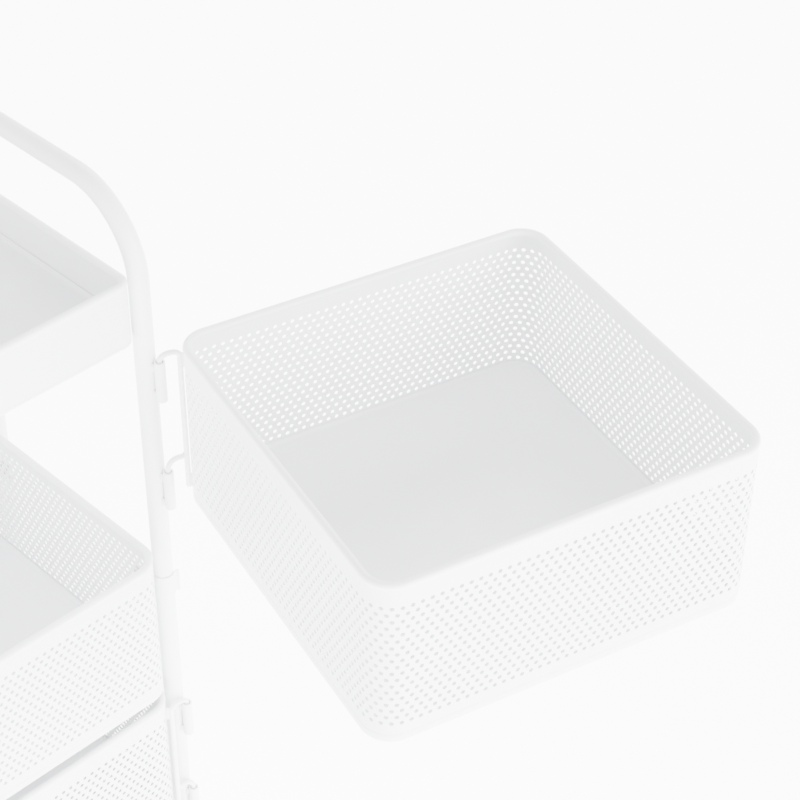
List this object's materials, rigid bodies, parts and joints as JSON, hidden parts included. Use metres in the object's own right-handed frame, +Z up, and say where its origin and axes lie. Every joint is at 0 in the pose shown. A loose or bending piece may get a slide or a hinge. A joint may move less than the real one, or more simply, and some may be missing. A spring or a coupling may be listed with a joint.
{
  "type": "rolling utility cart",
  "caption": "Tall white wheeled storage cart: an inverted-U tube frame carries a shallow tray above square perforated baskets, some of which swing out round one post.",
  "frame": {"origin": "floor level, middle of the cart's footprint with the second basket swung out", "axes": "+X along the inverted-U frame from the far post to the hinge post, +Y from the open front to the back, +Z up"},
  "size_m": [0.6418, 0.5932, 0.8245],
  "materials": {
    "powder_coat": "satin",
    "steel": "satin",
    "wheel": "matte",
    "fork": "satin"
  },
  "bodies": {
    "frame": {"frame_tube": "powder_coat", "foot_tube_near": "powder_coat", "foot_tube_far": "powder_coat", "cross_tube_front": "powder_coat", "cross_tube_rear": "powder_coat", "tray_wall": "powder_coat", "tray_rim": "powder_coat", "tray_pan": "powder_coat", "tray_lug_near": "powder_coat", "tray_lug_far": "powder_coat", "tray_screw_near": "steel", "tray_screw_far": "steel", "basket3_wall": "powder_coat", "basket3_rim": "powder_coat", "basket3_pan": "powder_coat", "basket3_clip_near": "powder_coat", "basket3_clip_far": "powder_coat", "basket5_wall": "powder_coat", "basket5_rim": "powder_coat", "basket5_pan": "powder_coat", "basket5_clip_near": "powder_coat", "basket5_clip_far": "powder_coat", "basket2_sleeve_upper": "powder_coat", "basket2_sleeve_lower": "powder_coat", "basket4_sleeve_upper": "powder_coat", "basket4_sleeve_lower": "powder_coat", "caster_front_near_stem": "steel", "caster_front_far_stem": "steel", "caster_rear_near_stem": "steel", "caster_rear_far_stem": "steel"},
    "basket2": {"basket2_wall": "powder_coat", "basket2_rim": "powder_coat", "basket2_pan": "powder_coat", "basket2_hinge_wire": "powder_coat", "basket2_lower_hook": "powder_coat"},
    "basket4": {"basket4_wall": "powder_coat", "basket4_rim": "powder_coat", "basket4_pan": "powder_coat", "basket4_hinge_wire": "powder_coat", "basket4_lower_hook": "powder_coat"},
    "caster_front_near_swivel": {"caster_front_near_fork": "fork", "caster_front_near_axle": "steel"},
    "caster_front_near_wheel": {"caster_front_near_wheel": "wheel"},
    "caster_front_near_brake": {"caster_front_near_brake": "fork"},
    "caster_front_far_swivel": {"caster_front_far_fork": "fork", "caster_front_far_axle": "steel"},
    "caster_front_far_wheel": {"caster_front_far_wheel": "wheel"},
    "caster_front_far_brake": {"caster_front_far_brake": "fork"},
    "caster_rear_near_swivel": {"caster_rear_near_fork": "fork", "caster_rear_near_axle": "steel"},
    "caster_rear_near_wheel": {"caster_rear_near_wheel": "wheel"},
    "caster_rear_far_swivel": {"caster_rear_far_fork": "fork", "caster_rear_far_axle": "steel"},
    "caster_rear_far_wheel": {"caster_rear_far_wheel": "wheel"}
  },
  "joints": [
    {"name": "basket2_swing", "type": "hinge", "parent": "frame", "child": "basket2", "pos_m": [-0.0322, 0.0076, 0.6313], "axis": [0, 0, 1], "range_deg": [-164.7, 15.3]},
    {"name": "basket4_swing", "type": "hinge", "parent": "frame", "child": "basket4", "pos_m": [-0.0322, 0.0076, 0.292], "axis": [0, 0, 1], "range_deg": [0, 180]},
    {"name": "caster_front_near_swivel_turn", "type": "hinge", "parent": "frame", "child": "caster_front_near_swivel", "pos_m": [-0.0435, -0.276, 0.0613], "axis": [0, 0, 1], "continuous": true},
    {"name": "caster_front_near_roll", "type": "hinge", "parent": "caster_front_near_swivel", "child": "caster_front_near_wheel", "pos_m": [-0.0435, -0.26, 0.025], "axis": [1, 0, 0], "continuous": true},
    {"name": "caster_front_near_brake_press", "type": "hinge", "parent": "caster_front_near_swivel", "child": "caster_front_near_brake", "pos_m": [-0.0435, -0.24, 0.049], "axis": [1, 0, 0], "range_deg": [-15, 0]},
    {"name": "caster_front_far_swivel_turn", "type": "hinge", "parent": "frame", "child": "caster_front_far_swivel", "pos_m": [-0.2505, -0.276, 0.0613], "axis": [0, 0, 1], "continuous": true},
    {"name": "caster_front_far_roll", "type": "hinge", "parent": "caster_front_far_swivel", "child": "caster_front_far_wheel", "pos_m": [-0.2505, -0.26, 0.025], "axis": [1, 0, 0], "continuous": true},
    {"name": "caster_front_far_brake_press", "type": "hinge", "parent": "caster_front_far_swivel", "child": "caster_front_far_brake", "pos_m": [-0.2505, -0.24, 0.049], "axis": [1, 0, 0], "range_deg": [-15, 0]},
    {"name": "caster_rear_near_swivel_turn", "type": "hinge", "parent": "frame", "child": "caster_rear_near_swivel", "pos_m": [-0.0435, 0.014, 0.0613], "axis": [0, 0, 1], "continuous": true},
    {"name": "caster_rear_near_roll", "type": "hinge", "parent": "caster_rear_near_swivel", "child": "caster_rear_near_wheel", "pos_m": [-0.0435, 0.03, 0.025], "axis": [1, 0, 0], "continuous": true},
    {"name": "caster_rear_far_swivel_turn", "type": "hinge", "parent": "frame", "child": "caster_rear_far_swivel", "pos_m": [-0.2505, 0.014, 0.0613], "axis": [0, 0, 1], "continuous": true},
    {"name": "caster_rear_far_roll", "type": "hinge", "parent": "caster_rear_far_swivel", "child": "caster_rear_far_wheel", "pos_m": [-0.2505, 0.03, 0.025], "axis": [1, 0, 0], "continuous": true}
  ]
}
